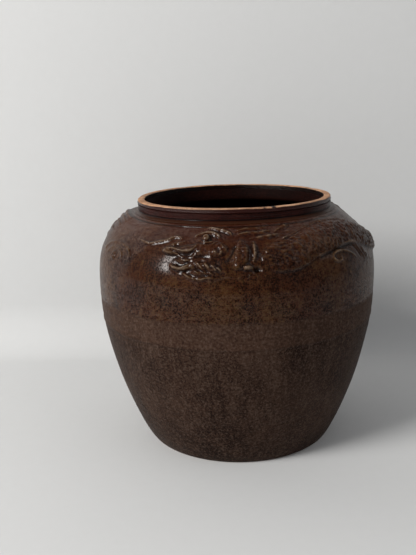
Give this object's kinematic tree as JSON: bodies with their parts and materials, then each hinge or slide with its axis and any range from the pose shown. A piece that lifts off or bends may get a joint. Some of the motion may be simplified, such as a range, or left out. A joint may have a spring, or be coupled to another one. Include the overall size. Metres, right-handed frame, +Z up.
{
  "type": "martaban jar",
  "caption": "Squat wide-mouthed storage jar of brown-glazed stoneware with moulded dragons on its shoulder and a short collar round its open mouth.",
  "frame": {"origin": "middle of the foot, on the ground", "axes": "+Z up along the jar's axis, -Y towards the front, with the first dragon's head a little to the left of it"},
  "size_m": [0.3, 0.3, 0.265],
  "materials": {
    "gloss_glaze": "glossy mottled brown glaze",
    "satin_glaze": "thin satin brown glaze, streaked",
    "collar_glaze": "glossy dark red-brown glaze",
    "lip_clay": "wiped bare clay with worn glaze",
    "bare_clay": "rough unglazed clay"
  },
  "bodies": {
    "root": {"base_disc": "bare_clay", "foot_course": "satin_glaze", "flank_course": "satin_glaze", "belly_course": "gloss_glaze", "shoulder_course": "gloss_glaze", "neck_course": "gloss_glaze", "neck_collar": "collar_glaze", "lip_coil": "lip_clay", "front_dragon_head": "gloss_glaze", "front_dragon_eye": "gloss_glaze", "front_dragon_brow": "gloss_glaze", "front_dragon_horn": "gloss_glaze", "front_dragon_nostril": "gloss_glaze", "front_dragon_tongue": "gloss_glaze", "front_dragon_jaw": "gloss_glaze", "front_dragon_beard": "gloss_glaze", "front_dragon_whiskers": "gloss_glaze", "front_dragon_mane": "gloss_glaze", "front_dragon_cheek": "gloss_glaze", "front_dragon_foreleg": "gloss_glaze", "front_dragon_foreclaws": "gloss_glaze", "front_dragon_chest": "gloss_glaze", "front_dragon_back": "gloss_glaze", "front_dragon_loin": "gloss_glaze", "front_dragon_tail": "gloss_glaze", "front_dragon_ridge": "gloss_glaze", "front_dragon_hindleg": "gloss_glaze", "front_dragon_hindclaws": "gloss_glaze", "front_dragon_tail_tuft": "gloss_glaze", "front_dragon_flame": "gloss_glaze", "front_dragon_cloud": "gloss_glaze", "front_dragon_wave": "gloss_glaze", "front_dragon_pearl": "gloss_glaze", "rear_dragon_head": "gloss_glaze", "rear_dragon_eye": "gloss_glaze", "rear_dragon_brow": "gloss_glaze", "rear_dragon_horn": "gloss_glaze", "rear_dragon_nostril": "gloss_glaze", "rear_dragon_tongue": "gloss_glaze", "rear_dragon_jaw": "gloss_glaze", "rear_dragon_beard": "gloss_glaze", "rear_dragon_whiskers": "gloss_glaze", "rear_dragon_mane": "gloss_glaze", "rear_dragon_cheek": "gloss_glaze", "rear_dragon_foreleg": "gloss_glaze", "rear_dragon_foreclaws": "gloss_glaze", "rear_dragon_chest": "gloss_glaze", "rear_dragon_back": "gloss_glaze", "rear_dragon_loin": "gloss_glaze", "rear_dragon_tail": "gloss_glaze", "rear_dragon_ridge": "gloss_glaze", "rear_dragon_hindleg": "gloss_glaze", "rear_dragon_hindclaws": "gloss_glaze", "rear_dragon_tail_tuft": "gloss_glaze", "rear_dragon_flame": "gloss_glaze", "rear_dragon_cloud": "gloss_glaze", "rear_dragon_wave": "gloss_glaze", "rear_dragon_pearl": "gloss_glaze"}
  },
  "joints": []
}
